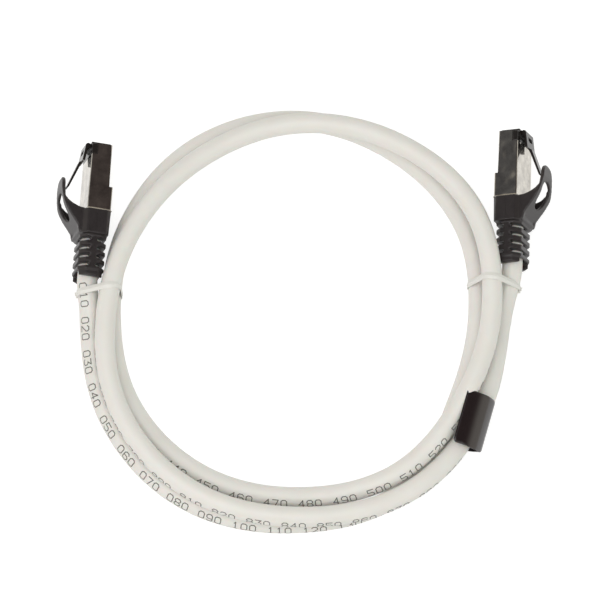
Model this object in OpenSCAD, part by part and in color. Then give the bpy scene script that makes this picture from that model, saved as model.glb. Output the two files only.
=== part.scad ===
// Ethernet patch cable: one metre of round shielded cable, an 8P8C plug with a snagless boot at each end,
// wound into two and a half turns, held by two twist ties and marked with a wrapped tag. Millimetres.
// The whole lies on a floor at z = 0. Each plug is drawn about its own axis: y runs forward and is 0 at the
// shield's front edge, x points to the latch and z runs across the eight contacts.

/* [Cable] */
// Outer diameter of the jacket
cable_od = 6; // [5.6:0.1:6.2]
// Wall of the jacket
jacket_wall = 0.62; // [0.5:0.02:0.66]
// Diameter of one insulated conductor
wire_d = 0.94; // [0.8:0.02:0.96]
// Thickness of the screen folded back over the jacket
screen_t = 0.3; // [0.2:0.05:0.4]

/* [Coil] */
// Mean radius of the turns
coil_r = 58; // [55:1:70]

/* [Plug] */
// Width across the contacts
plug_w = 11.7; // [11.5:0.05:12.2]
// Thickness from the contact face to the latch face
plug_t = 6; // [5.8:0.05:6.6]
// Length of the shield from its front edge to its back wall
plug_len = 21.5; // [21:0.1:23]
// Thickness of the shield's sheet metal
sheet = 0.3; // [0.2:0.05:0.35]
// How far the heel stands out on the contact side
heel_h = 1.1; // [0.8:0.1:1.4]
// Length of the heel along the plug
heel_len = 7.4; // [6:0.1:9]
// Length of the crimp barrel behind the back wall
crimp_len = 6; // [4:0.5:6.5]
// Length of the bare plastic nose beside the latch
nose_len = 3.4; // [3:0.1:4]
// How far the moulded nose stands out of the shield's front edge
nose_out = 0.7; // [0.5:0.1:0.9]
// Width of the nose where it stands out
nose_w = 9; // [8:0.2:10]
// Distance between neighbouring contacts
contact_pitch = 1.02; // [1.01:0.01:1.04]
// Thickness of one contact blade
contact_t = 0.35; // [0.25:0.05:0.4]
// Length of the load bar
bar_len = 6; // [4:0.5:7]

/* [Latch] */
// Width of the latch at its root
latch_w = 6.2; // [5.8:0.1:6.6]
// Width of the latch's tail
latch_tail_w = 2.8; // [2.4:0.1:3.2]
// Thickness of the latch arm
latch_t = 0.8; // [0.7:0.05:0.9]
// Height of the tail's end above the latch face
latch_rise = 5.4; // [5:0.1:5.6]
// Distance from the shield's front edge to the tail's end
latch_reach = 13.1; // [12.6:0.1:13.6]

/* [Boot] */
// How far the boot reaches over the back of the shield
boot_grip = 1.1; // [0.8:0.1:1.6]
// Length of the boot's closed front part
boot_head_len = 7.7; // [7.4:0.1:8.6]
// Length of the slotted bend relief
relief_len = 10.8; // [10.4:0.1:12]
// Length of the two lugs at the back
collar_len = 1.7; // [1.4:0.1:2.4]
// Width of the boot's front part
boot_w = 13.4; // [13.2:0.1:14]
// Rubber wall over the plug's latch face
boot_wall = 0.85; // [0.75:0.05:1]
// Width of the bend relief
relief_w = 11; // [10.6:0.1:11.6]
// Thickness of the bend relief
relief_t = 8; // [7.8:0.1:8.4]
// Pairs of slots in the bend relief
slot_pairs = 4; // [2:1:4]
// Length of one slot along the cable
slot_w = 1.15; // [0.6:0.05:1.4]

/* [Guard] */
// Width of the latch guard
guard_w = 10.4; // [9.8:0.1:10.8]
// Thickness of the guard's plate
guard_t = 1; // [0.9:0.05:1.2]
// Length of the guard's finger window
window_len = 8; // [6:0.2:8.6]
// Width of the guard's finger window
window_w = 5.6; // [4:0.2:6]
// Thickness of the guard's side webs
web_t = 1.2; // [0.8:0.1:1.4]
// Radius of the guard's rounded front end
guard_tip_r = 3.4; // [3:0.1:3.8]

/* [Ties] */
// Width of a tie's ribbon
tie_w = 2; // [1.6:0.1:2.6]
// Thickness of a tie's ribbon
tie_t = 0.4; // [0.3:0.05:0.5]
// Length of a tie's twisted ends
twist_len = 3; // [2:0.5:6]

/* [Tag] */
// Length of the tag along the cable
tag_len = 16.5; // [10:0.5:18]
// Thickness of the tag's film
tag_t = 0.25; // [0.15:0.05:0.35]
// How far the tag's flag reaches from the cable's axis
flag_reach = 5.6; // [4.8:0.1:7]

/* [Hidden] */

// clearances: between parts that sit still in each other, between parts that pass, and round the cable in
// the boot's mouth
snug = 0.03;
slip = 0.2;
mouth_gap = 0.35;
big = 40;
$fn = 48;

// ---- the lie of the coil ----
// Centre of the turns on the floor
coil_x = -1.8;
coil_y = -32.4;
// Faceted tubes lie on a flat, so the lowest turn's axis is one apothem above the floor
coil_sides = 6;
tail_sides = 8;
floor_h = cable_od / 2 * cos(180 / coil_sides);
// The cable runs anticlockwise from plug a, at the left, to plug b, at the right
turn_from = 180;
turn_to = 1080;
rings_a_turn = 24;
// Where the cable lies every 30 degrees of its run, in cable diameters: [outward from coil_r, up from the
// floor]. The first and last rows lie past the coil's ends and only aim them at the boots.
lay_step = 30;
LAY = [
    [1.22, 1.85],
    [0.50, 0.55], [0.92, 0.07], [1.18, 0.03], [0.88, 0.03],
    [0.62, 0.01], [-0.73, 0.03], [-0.87, 0.21], [-0.33, 0.15],
    [0.01, 0.04], [0.40, 0.04], [0.33, 0.05], [-0.17, 0.05],
    [-0.53, 0.05], [-0.34, 0.06], [-0.31, 0.03],
    [-0.40, 0.13], [-0.08, 0.88], [-0.38, 1.32], [-0.22, 1.52], [0.21, 1.84],
    [0.07, 1.51], [-0.10, 1.14], [-0.51, 1.11], [-0.63, 1.26],
    [-0.34, 1.32], [0.42, 1.13], [0.88, 1.08], [0.93, 1.18],
    [1.06, 1.03], [0.50, 0.42], [0.29, 0.33],
    [2.37, 2.50]];

// Value between p1 and p2 on the smooth curve through four neighbours
function blend(p0, p1, p2, p3, t) =
    0.5 * (2 * p1 + (p2 - p0) * t + (2 * p0 - 5 * p1 + 4 * p2 - p3) * t * t
        + (3 * p1 - p0 - 3 * p2 + p3) * t * t * t);
function lay_at(s) =
    let (u = (s - turn_from) / lay_step + 1, i = min(floor(u), len(LAY) - 3))
    blend(LAY[i - 1], LAY[i], LAY[i + 1], LAY[i + 2], u - i);
function coil_point(s) =
    let (lay = lay_at(s), r = coil_r + cable_od * lay[0])
    [coil_x + r * cos(s), coil_y + r * sin(s), floor_h + cable_od * lay[1]];
function unit(v) = v / norm(v);
// The way the cable leaves the coil at each end, and the ends of its last straight diameter
tip = 0.5;
coil_way = [unit(coil_point(turn_from) - coil_point(turn_from + tip)),
    unit(coil_point(turn_to) - coil_point(turn_to - tip))];
coil_end = [coil_point(turn_from) + cable_od * coil_way[0],
    coil_point(turn_to) + cable_od * coil_way[1]];

// Least gap between two turns, measured between points a few degrees apart
gap_step = 6;
gap_points = [for (s = [turn_from:gap_step:turn_to]) coil_point(s)];
apart = 90 / gap_step;
least_gap = min([for (i = [0:len(gap_points) - 1 - apart], j = [i + apart:len(gap_points) - 1])
    norm(gap_points[i] - gap_points[j])]) - cable_od;
function path_length(p) = len(p) < 2 ? 0 : [for (i = 1, l = 0; i <= len(p);
    l = l + (i < len(p) ? norm(p[i] - p[i - 1]) : 0), i = i + 1) l][len(p) - 1];

// ---- how the plugs lie: plug a, then plug b ----
// Turn about the plug's own axis, nose down or up, and turn on the floor
roll = [-166, -21.5];
pitch = [-1.5, -1.5];
yaw = [-4.4, -1.5];
// From the coil's straight end to the boot's inner end of the cable, on the floor
tail_run = [[-0.35, 6.06], [2.03, 10.20]];
function rot_x(a, p) = [p.x, p.y * cos(a) - p.z * sin(a), p.y * sin(a) + p.z * cos(a)];
function rot_y(a, p) = [p.x * cos(a) + p.z * sin(a), p.y, p.z * cos(a) - p.x * sin(a)];
function rot_z(a, p) = [p.x * cos(a) - p.y * sin(a), p.x * sin(a) + p.y * cos(a), p.z];
function turned(e, p) = rot_z(yaw[e], rot_x(pitch[e], rot_y(roll[e], p)));
// The boot's front edge, and distances behind the shield's front edge
head_cut = 1.2;
head_low = -plug_t / 2 - heel_h - 0.15;
head_corners = [for (side = [-1, 1]) each [[head_low + head_cut, side * boot_w / 2],
    [head_low, side * (boot_w / 2 - head_cut)], [plug_t / 2 + boot_wall - head_cut, side * boot_w / 2],
    [plug_t / 2 + boot_wall, side * (boot_w / 2 - head_cut)]]];
boot_front = plug_len - boot_grip;
relief_at = boot_front + boot_head_len;
collar_at = relief_at + relief_len;
boot_end = collar_at + collar_len;
mouth_depth = 0.5;
entry_at = collar_at - mouth_depth;
// A boot rests on the floor on the lowest corner of its front edge
function drop(e) = max([for (c = head_corners) -turned(e, [c.x, 0, c.y]).z]);
entry_h = [for (e = [0, 1]) drop(e) + 0.02 + turned(e, [0, boot_front - entry_at, 0]).z];
entry = [for (e = [0, 1]) [coil_end[e].x + tail_run[e].x, coil_end[e].y + tail_run[e].y, entry_h[e]]];
plug_at = [for (e = [0, 1]) entry[e] + turned(e, [0, entry_at, 0])];
tail_lead = 1.5;
tail_route = [for (e = [0, 1]) [coil_end[e], coil_end[e] + tail_lead * coil_way[e],
    entry[e] + turned(e, [0, -tail_lead, 0]), entry[e]]];

// ---- sizes derived inside a plug ----
half_w = plug_w / 2;
half_t = plug_t / 2;
body_half_w = half_w - sheet - snug;
body_half_t = half_t - sheet - snug;
nose_gap = 0.15;
notch_t = 1.7;
contact_len = 4.6;
contact_from = 1.1;
contact_window_w = 8 * contact_pitch + 1.4;
contact_window_len = 7.4;
// Conductors lie in two rows in the load bar, and closer together in the jacket
row_x = 0.62;
jacket_row_x = 0.74;
jacket_pitch = 1.05;
heel_to = boot_front - snug;
wire_front = 1.5;
bar_from = 6.8;
bar_to = bar_from + bar_len;
bar_half_t = 1.45;
bar_half_w = 4.6;
wire_hole = wire_d + 2 * snug;
wire_bend = bar_to + 1.2;
jacket_from = plug_len - sheet;
jacket_id = cable_od - 2 * jacket_wall;
screen_from = plug_len + 0.3;
screen_to = plug_len + crimp_len + 1;
crimp_id = cable_od + 2 * screen_t + 4 * snug;
crimp_od = crimp_id + 2 * sheet;
function wire_z(i) = (i - 3.5) * contact_pitch;
function wire_row(i) = i % 2 == 0 ? 1 : -1;
function jacket_z(i) = (floor(i / 2) - 1.5) * jacket_pitch;

// ---- latch, seen from the side: [x, y] ----
latch_pin_r = 0.8;
latch_pin = [half_t + 0.7, nose_out - latch_pin_r - 0.05];
latch_shoulder = [half_t + 1.7, -4.8];
// Behind the shoulder the tail steps out, then runs straight to its end
latch_step = 0.6;
latch_knee = [half_t + 2.75, -6.2];
latch_tip = [half_t + latch_rise, -latch_reach];

// ---- guard, seen from the side ----
guard_pin_r = 0.4;
boot_top = half_t + boot_wall;
guard_pin = [boot_top + slip + guard_pin_r, -(relief_at - 0.8)];
guard_stand = 0.8;
guard_out = latch_tip.x + latch_t / 2 + guard_stand + guard_t;
guard_front = latch_reach - 2.9;
guard_bend = latch_reach + 1.1;
// The plate's outside behind its straight front: how far it has come down to the hinge, and how far back to it
GUARD_RUN = [[0, 0], [0.06, 0.21], [0.13, 0.35], [0.24, 0.47], [0.44, 0.62], [0.95, 0.93]];
guard_over = [for (f = GUARD_RUN)
    [guard_out - f[0] * (guard_out - guard_pin.x), -guard_bend - f[1] * (-guard_pin.y - guard_bend)]];
guard_under = [for (p = guard_over) p - [1.1 * guard_t, 0]];
// The webs end forward in a quarter of an ellipse that comes down to the boot's front edge, and stand off
// the boot by the angle that the guard swings through
web_front = boot_front - 0.3;
web_bend = guard_bend - 0.2;
web_rise = guard_out - boot_top - 0.35;
guard_swing = 10.3;
web_foot = guard_pin.x - guard_pin_r + 0.1 + (-guard_pin.y - web_front) * tan(guard_swing);
web_arc = [for (a = [72:-14:30]) [boot_top + web_rise * cos(a), -web_bend - (web_front - web_bend) * sin(a)]];
flare_back = 5.3;
guard_flare = guard_bend + flare_back;
window_back = 5.2;
window_y = -(guard_bend + window_back);

// ---- general shapes ----
module box(lo, hi) {
    translate(lo)
        cube(hi - lo);
}
// Round bar along the plug between two distances behind the shield's front edge
module barrel(d, from, to) {
    translate([0, -from, 0])
        rotate([90, 0, 0])
            cylinder(d = d, h = to - from);
}
// Straight round bar between two points, with ball ends where asked
module rod(a, b, d) {
    v = b - a;
    translate(a)
        rotate([0, acos(v.z / norm(v)), atan2(v.y, v.x)])
            cylinder(d = d, h = norm(v), $fn = 24);
}
// Prism along z from a side view, centred on the plug's middle plane
module side_prism(points, width) {
    translate([0, 0, -width / 2])
        linear_extrude(width)
            polygon(points);
}
// Prism along y with an eight-sided cross-section
module bar8(from, to, x0, x1, half_z, cut) {
    translate([0, -from, 0])
        rotate([90, 0, 0])
            linear_extrude(to - from)
                polygon([[x0 + cut, -half_z], [x1 - cut, -half_z], [x1, cut - half_z],
                    [x1, half_z - cut], [x1 - cut, half_z], [x0 + cut, half_z],
                    [x0, half_z - cut], [x0, cut - half_z]]);
}
module at_plug(e) {
    translate(plug_at[e])
        rotate([0, 0, yaw[e]])
            rotate([pitch[e], 0, 0])
                rotate([0, roll[e], 0])
                    children();
}

// ---- swept tubes ----
function way(p, i) = unit(p[min(i + 1, len(p) - 1)] - p[max(i - 1, 0)]);
function side_of(w) = unit(cross(w, [0, 0, 1]));
// Ring of points square to the cable, with a flat below
function ring(p, w, d, n) =
    let (s = side_of(w), u = cross(s, w))
    [for (k = [0:n - 1]) let (a = 360 * (k + (n % 4 == 0 ? 0.5 : 0)) / n)
        p + d / 2 * (cos(a) * s + sin(a) * u)];
module tube(p, ways, d, n) {
    last = len(p) - 1;
    points = [for (i = [0:last]) each ring(p[i], ways[i], d, n)];
    sides = [for (i = [0:last - 1], k = [0:n - 1])
        let (a = i * n + k, b = i * n + (k + 1) % n) each [[a, a + n, b], [b, a + n, b + n]]];
    caps = [for (k = [1:n - 2]) each [[0, k, k + 1],
        [last * n, last * n + k + 1, last * n + k]]];
    polyhedron(concat(points), concat(sides, caps));
}

// ---- on the cable ----
module cable_coil() {
    angles = [for (s = [turn_from:ring_step:turn_to]) s];
    middle = [for (s = angles) coil_point(s)];
    middle_ways = [for (s = angles) unit(coil_point(min(s + tip, turn_to)) - coil_point(max(s - tip, turn_from)))];
    color("gainsboro")
        tube(concat([coil_end[0]], middle, [coil_end[1]]),
            concat([-coil_way[0]], middle_ways, [coil_way[1]]), cable_od, coil_sides);
}
module cable_tail(e) {
    p = tail_route[e];
    inward = turned(e, [0, 1, 0]);
    color("gainsboro")
        tube(p, [coil_way[e], coil_way[e], inward, inward], cable_od, tail_sides);
}

// Where a polyline that climbs in y crosses a height y past the coil's middle
function crossing(p, y) =
    let (i = [for (k = [0:len(p) - 2]) if (p[k + 1].y >= coil_y + y) k][0], q = p[i + 1] - p[i])
    p[i] + q * (coil_y + y - p[i].y) / q.y;
// Strand of a turn, from the ring of points at the run angle s0 to the next ring up
ring_step = 360 / rings_a_turn;
function strand(s0) = [coil_point(s0), coil_point(s0 + (cos(s0) > 0 ? ring_step : -ring_step))];
function end_strand(e) = concat([coil_point(e == 0 ? turn_from : turn_to)], tail_route[e]);
tie_left_y = 7;
tie_right_y = 8.7;
tie_left_at = [for (p = [end_strand(0), strand(turn_from + 360), strand(turn_from + 720)])
    crossing(p, tie_left_y)];
tie_right_at = [for (p = [end_strand(1), strand(turn_to - 720), strand(turn_to - 360)])
    crossing(p, tie_right_y)];
tie_gap = 0.35;
module round_three(at, r) {
    hull()
        for (p = at)
            translate([p.x, p.z])
                circle(r, $fn = 32);
}
// Closed ribbon round three strands. Its twisted ends lie outboard along the first of them, toward the coil.
module tie(e, at, y) {
    reach = cable_od / 2 + tie_gap;
    out = e == 0 ? -1 : 1;
    root = [at[0].x + out * (reach + tie_t / 2), coil_y + y, at[0].z - cable_od / 3];
    twist_end = root - twist_len * coil_way[e];
    color("white") {
        translate([0, coil_y + y + tie_w / 2, 0])
            rotate([90, 0, 0])
                linear_extrude(tie_w)
                    difference() {
                        round_three(at, reach + tie_t);
                        round_three(at, reach);
                    }
        rod(root, twist_end, 3 * tie_t);
    }
}

// Film wrapped once round the cable, its two ends laid together as a short flag on the outside
tag_at = 1046.5;
tag_gap = 0.15;
tag_r = cable_od / 2 + tag_gap;
tag_half = tag_len / 2 / (coil_r + cable_od * lay_at(tag_at)[0]) * 180 / PI;
flag_drop = -0.6;
flag_close = 1.2;
wrap_from = 50;
wrap_to = 300;
wrap_step = 12.5;
leaf_gap = 0.08;
// The film's middle line in the cable's cross-section, from the flag's end round to the flag's end
function tag_line() = let (r = tag_r + tag_t / 2, top = flag_drop + tag_t / 2 + leaf_gap / 2)
    concat([[flag_reach, top], [flag_reach - flag_close, top + 0.1]],
        [for (a = [wrap_from:wrap_step:wrap_to]) r * [cos(a), sin(a)]],
        [[flag_reach - flag_close, top - tag_t - leaf_gap], [flag_reach, top - tag_t - leaf_gap]]);
// The faceted cable runs straight between its rings, and the tag with it
function ring_before(s) = turn_from + ring_step * floor((s - turn_from) / ring_step);
function on_cable(s) =
    let (s0 = ring_before(s), t = (s - s0) / ring_step)
    (1 - t) * coil_point(s0) + t * coil_point(s0 + ring_step);
function line_normal(l, i) =
    let (d = unit(l[min(i + 1, len(l) - 1)] - l[max(i - 1, 0)])) [d.y, -d.x];
module tag() {
    l = tag_line();
    n = len(l);
    edge = [for (i = [0:n - 1]) each [l[i] + tag_t / 2 * line_normal(l, i), l[i] - tag_t / 2 * line_normal(l, i)]];
    m = 2 * n;
    between = [for (s = [ring_before(tag_at - tag_half) + ring_step:ring_step:tag_at + tag_half - 1]) s];
    stations = concat([tag_at - tag_half], between, [tag_at + tag_half]);
    tag_steps = len(stations) - 1;
    points = [for (s = stations)
        let (w = unit(on_cable(s + tip) - on_cable(s - tip)), out = side_of(w), up = cross(out, w))
        each [for (q = edge) on_cable(s) + q.x * out + q.y * up]];
    // along the film's two faces, its two cut ends, and the strip's edges at both ends of the tag
    faces = [for (k = [0:tag_steps - 1], i = [0:n - 2])
        let (a = k * m + 2 * i, b = a + m)
        each [[a, a + 2, b], [a + 2, b + 2, b], [a + 1, b + 1, a + 3], [a + 3, b + 1, b + 3]]];
    cuts = [for (k = [0:tag_steps - 1])
        let (a = k * m, b = a + m, c = a + m - 2, d = b + m - 2)
        each [[a, b, a + 1], [a + 1, b, b + 1], [c, c + 1, d], [c + 1, d + 1, d]]];
    z = tag_steps * m;
    ends = [for (i = [0:n - 2])
        each [[2 * i, 2 * i + 1, 2 * i + 2], [2 * i + 1, 2 * i + 3, 2 * i + 2],
            [z + 2 * i, z + 2 * i + 2, z + 2 * i + 1], [z + 2 * i + 1, z + 2 * i + 2, z + 2 * i + 3]]];
    color("#2b2829")
        polyhedron(points, concat(faces, cuts, ends));
}

// ---- plug ----
module plug_shield() {
    color("silver") {
        difference() {
            union() {
                box([-half_t, -plug_len, -half_w], [half_t, 0, half_w]);
                box([-half_t - heel_h, -heel_to, -half_w], [0, heel_len - heel_to, half_w]);
            }
            box([sheet - half_t, sheet - plug_len, sheet - half_w], [half_t - sheet, 1, half_w - sheet]);
            box([sheet - half_t - heel_h, sheet - heel_to, sheet - half_w],
                [0, heel_len - heel_to - sheet, half_w - sheet]);
            box([half_t - notch_t, -nose_len, -plug_w], [plug_t, 1, plug_w]);
            box([-plug_t, -contact_window_len, -contact_window_w / 2], [0, 1, contact_window_w / 2]);
            barrel(cable_od + 2 * snug, plug_len - 1, plug_len + 1);
        }
        difference() {
            barrel(crimp_od, plug_len - sheet / 2, plug_len + crimp_len);
            barrel(crimp_id, plug_len - 1, plug_len + crimp_len + 1);
            box([-crimp_od, -plug_len - big, -0.25], [0, -plug_len - 1, 0.25]);
        }
    }
}

module plug_body() {
    back = plug_len - sheet - snug;
    color("#3b3734")
        difference() {
            union() {
                box([-body_half_t, -back, -body_half_w], [body_half_t, -nose_gap, body_half_w]);
                box([half_t - notch_t + snug, snug - nose_len, -half_w], [half_t, -nose_gap, half_w]);
                box([-body_half_t, -1, -nose_w / 2], [half_t, nose_out, nose_w / 2]);
            }
            // seat of the latch's knuckle
            translate([latch_pin.x, latch_pin.y, -latch_w / 2 - slip])
                cylinder(r = latch_pin_r + slip, h = latch_w + 2 * slip);
            for (i = [0:7])
                box([-plug_t, -contact_from - contact_len - snug, wire_z(i) - contact_t / 2 - snug],
                    [blade_tip(i) + snug, snug - contact_from, wire_z(i) + contact_t / 2 + snug]);
            for (i = [0:7])
                translate([wire_row(i) * row_x, 0, wire_z(i)])
                    barrel(wire_hole, wire_front - snug, bar_from + 1);
            box([-bar_half_t - snug, -plug_len, -bar_half_w - snug], [bar_half_t + snug, -bar_from + snug, bar_half_w + snug]);
            box([-2.4, -plug_len, -bar_half_w - snug], [2.4, -bar_to - snug, bar_half_w + snug]);
        }
}

// A blade ends on the conductor that it pierces, in the near or the far row
function blade_tip(i) = wire_row(i) * row_x - wire_d / 2 - snug;
module contacts() {
    color("gold")
        for (i = [0:7])
            box([0.1 - half_t, -contact_from - contact_len, wire_z(i) - contact_t / 2],
                [blade_tip(i), -contact_from, wire_z(i) + contact_t / 2]);
}

module load_bar() {
    color("#e8e6df")
        difference() {
            box([-bar_half_t, -bar_to, -bar_half_w], [bar_half_t, -bar_from, bar_half_w]);
            for (i = [0:7])
                translate([wire_row(i) * row_x, 0, wire_z(i)])
                    barrel(wire_hole, bar_from - 1, bar_to + 1);
        }
}

module conductors() {
    back = [0, -1, 0];
    color("orange")
        for (i = [0:7])
            tube([[wire_row(i) * row_x, -wire_front, wire_z(i)], [wire_row(i) * row_x, -wire_bend, wire_z(i)],
                [wire_row(i) * jacket_row_x, -jacket_from, jacket_z(i)],
                [wire_row(i) * jacket_row_x, -entry_at, jacket_z(i)]],
                [back, back, back, back], wire_d, tail_sides);
}

module screen() {
    color("lightsteelblue")
        difference() {
            barrel(crimp_id - 2 * snug, screen_from, screen_to);
            barrel(cable_od + 2 * snug, screen_from - 1, screen_to + 1);
        }
}

module jacket_end() {
    color("gainsboro")
        difference() {
            barrel(cable_od, jacket_from, entry_at);
            barrel(jacket_id, jacket_from - 1, entry_at + 1);
        }
}

// Arm drawn from the side: a wide root with a slot, to the shoulder, then a narrow tail
module latch() {
    t = latch_t / 2;
    root = latch_pin + [latch_pin_r - 0.03 - t, 0];
    color("#3b3734")
        difference() {
            union() {
                translate([latch_pin.x, latch_pin.y, -latch_w / 2])
                    cylinder(r = latch_pin_r, h = latch_w);
                side_prism([root - [t, 0], latch_shoulder - [t, 0], latch_shoulder + [t, 0], root + [t, 0]], latch_w);
                side_prism([latch_shoulder + [0.05 - t, 0.4], latch_knee - [t, 0.1], latch_tip - [0.8 * t, 0],
                    latch_tip - [0, 0.3], latch_tip + [0.8 * t, 0], latch_knee + [t, 0],
                    latch_shoulder + [t + latch_step, -0.2], latch_shoulder + [t - 0.05, 0.1]], latch_tail_w);
            }
            box([half_t, -2.5, -1.4], [half_t + 5, -1.2, 1.4]);
        }
}

module boot() {
    slot_pitch = (relief_len - 0.4) / slot_pairs;
    spine = 0.85;
    color("#2f2b2c")
        difference() {
            union() {
                intersection() {
                    bar8(boot_front, relief_at, head_low, boot_top, boot_w / 2, head_cut);
                    side_prism([[head_low, -boot_front], [boot_top, -boot_front],
                        [boot_top, -relief_at], [-relief_t / 2, -relief_at]], boot_w);
                }
                bar8(relief_at, collar_at, -relief_t / 2, relief_t / 2, relief_w / 2, 2);
                bar8(collar_at, boot_end, 0.2 - relief_t / 2, relief_t / 2 - 0.2, relief_w / 2 - 0.3, 2);
            }
            // socket for the shield's back, room for the crimp barrel, bore for the cable, mouth between two lugs
            box([-half_t - snug, -plug_len - snug, -half_w - snug], [half_t + snug, 1 - boot_front, half_w + snug]);
            barrel(crimp_od + 2 * snug, plug_len - 1, screen_to + 0.3);
            barrel(cable_od + 0.3, plug_len, boot_end);
            barrel(cable_od + 2 * mouth_gap, entry_at, boot_end + 1);
            box([-relief_t, -boot_end - 1, -cable_od / 2 - mouth_gap], [relief_t, -collar_at, cable_od / 2 + mouth_gap]);
            for (i = [0:slot_pairs - 1], flip = [-1, 1]) {
                y = -(relief_at + 0.75 + slot_pitch * i);
                box([flip > 0 ? spine : -relief_t, y - slot_w, -relief_w],
                    [flip > 0 ? relief_t : -spine, y, relief_w]);
            }
        }
}

// The guard seen from above, z across and y along, drawn in by a margin: a tongue with a round front end
function guard_plan(inset) = let (r = guard_tip_r - inset, w = guard_w / 2 - inset)
    concat([for (a = [0:15:180]) [r * cos(a), r * sin(a) - guard_front - guard_tip_r]],
        [[-w, -guard_flare], [-w, guard_pin.y - guard_w], [w, guard_pin.y - guard_w], [w, -guard_flare]]);
module latch_guard() {
    color("#2f2b2c")
        difference() {
            intersection() {
                union() {
                    translate([guard_pin.x, guard_pin.y, -guard_w / 2])
                        cylinder(r = guard_pin_r, h = guard_w);
                    side_prism(concat([[guard_out - 0.35, -guard_front], [guard_out, -guard_front - 1]], guard_over,
                        [guard_pin + [0.35, -0.4], guard_pin + [0, 0.3], [web_foot, -web_front]], web_arc,
                        [guard_under[0], [guard_under[0].x, -guard_front]]), guard_w);
                }
                rotate([0, 90, 0])
                    linear_extrude(big)
                        polygon(guard_plan(0));
            }
            // hollow between the webs
            intersection() {
                side_prism(concat([[guard_under[0].x, 0]], guard_under, [[0, guard_under[5].y], [0, 0]]), guard_w);
                rotate([0, 90, 0])
                    linear_extrude(big)
                        polygon(guard_plan(web_t));
            }
            translate([0, window_y, 0])
                rotate([0, 90, 0])
                    linear_extrude(big)
                        hull()
                            for (side = [-1, 1])
                                translate([0, side * (window_len - window_w) / 2])
                                    circle(d = window_w);
        }
}

echo(least_gap_between_turns = least_gap);
echo(coil_length = path_length(gap_points) + 2 * cable_od);
for (e = [0, 1]) {
    echo(plug = e, nose = plug_at[e], forward = turned(e, [0, 1, 0]), to_latch = turned(e, [1, 0, 0]));
    echo(latch_axis = turned(e, [0, 0, 1]), latch_pin_at = plug_at[e] + turned(e, [latch_pin.x, latch_pin.y, 0]),
        guard_pin_at = plug_at[e] + turned(e, [guard_pin.x, guard_pin.y, 0]));
}

cable_coil();
cable_tail(0);  // cable_tail_a
cable_tail(1);  // cable_tail_b
tie(0, tie_left_at, tie_left_y);  // tie_left
tie(1, tie_right_at, tie_right_y);  // tie_right
tag();
at_plug(0) plug_body();  // plug_body_a
at_plug(0) plug_shield();  // plug_shield_a
at_plug(0) contacts();  // contacts_a
at_plug(0) load_bar();  // load_bar_a
at_plug(0) conductors();  // conductors_a
at_plug(0) screen();  // screen_a
at_plug(0) jacket_end();  // jacket_end_a
at_plug(0) latch();  // latch_a
at_plug(0) boot();  // boot_a
at_plug(0) latch_guard();  // latch_guard_a
at_plug(1) plug_body();  // plug_body_b
at_plug(1) plug_shield();  // plug_shield_b
at_plug(1) contacts();  // contacts_b
at_plug(1) load_bar();  // load_bar_b
at_plug(1) conductors();  // conductors_b
at_plug(1) screen();  // screen_b
at_plug(1) jacket_end();  // jacket_end_b
at_plug(1) latch();  // latch_b
at_plug(1) boot();  // boot_b
at_plug(1) latch_guard();  // latch_guard_b
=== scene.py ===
import bisect
import math

import bmesh
import bpy
from mathutils import Euler, Matrix, Vector


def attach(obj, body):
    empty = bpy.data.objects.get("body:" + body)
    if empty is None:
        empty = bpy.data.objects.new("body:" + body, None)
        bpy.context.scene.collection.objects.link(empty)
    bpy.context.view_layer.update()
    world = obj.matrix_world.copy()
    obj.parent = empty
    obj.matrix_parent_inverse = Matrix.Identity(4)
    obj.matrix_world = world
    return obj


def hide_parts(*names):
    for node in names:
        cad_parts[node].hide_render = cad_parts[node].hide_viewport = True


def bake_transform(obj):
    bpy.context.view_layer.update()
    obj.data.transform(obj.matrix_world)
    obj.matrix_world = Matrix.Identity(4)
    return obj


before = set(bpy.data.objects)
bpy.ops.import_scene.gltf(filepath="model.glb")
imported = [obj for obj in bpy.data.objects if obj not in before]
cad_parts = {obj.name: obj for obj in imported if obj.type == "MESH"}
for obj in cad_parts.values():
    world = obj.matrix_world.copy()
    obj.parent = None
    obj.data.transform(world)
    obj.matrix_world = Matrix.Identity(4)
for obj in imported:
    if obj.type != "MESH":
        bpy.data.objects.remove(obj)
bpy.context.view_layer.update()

MM = 0.001
UP = Vector((0, 0, 1))

# ---------------------------------------------------------------- the cable's route, millimetres
CABLE_OD = 6.0
COIL_RADIUS = 58.0
COIL_CENTRE = (-1.8, -32.4)
LAY_STEP = 30
TURN_FROM, TURN_TO = 180, 1080
LINE_STEP = 1.5                     # degrees of run between the curve's points
AIM_STEP = 0.5                      # degrees of run that give the way the coil starts and ends
LEAD_STEPS = {"a": 10, "b": 12}     # steps of the eased curve between the coil and each boot
# Where the cable lies every 30 degrees of its run, in cable diameters: outward from the mean radius, up from
# the floor. The first and last rows only aim the coil's ends at the boots.
LAY = [
    (1.22, 1.85),
    (0.50, 0.55), (0.92, 0.07), (1.18, 0.03), (0.88, 0.03),
    (0.62, 0.01), (-0.73, 0.03), (-0.87, 0.21), (-0.33, 0.15),
    (0.01, 0.04), (0.40, 0.04), (0.33, 0.05), (-0.17, 0.05),
    (-0.53, 0.05), (-0.34, 0.06), (-0.31, 0.03),
    (-0.40, 0.13), (-0.08, 0.88), (-0.38, 1.32), (-0.22, 1.52), (0.21, 1.84),
    (0.07, 1.51), (-0.10, 1.14), (-0.51, 1.11), (-0.63, 1.26),
    (-0.34, 1.32), (0.42, 1.13), (0.88, 1.08), (0.93, 1.18),
    (1.06, 1.03), (0.50, 0.42), (0.29, 0.33),
    (2.37, 2.50)]

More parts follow.
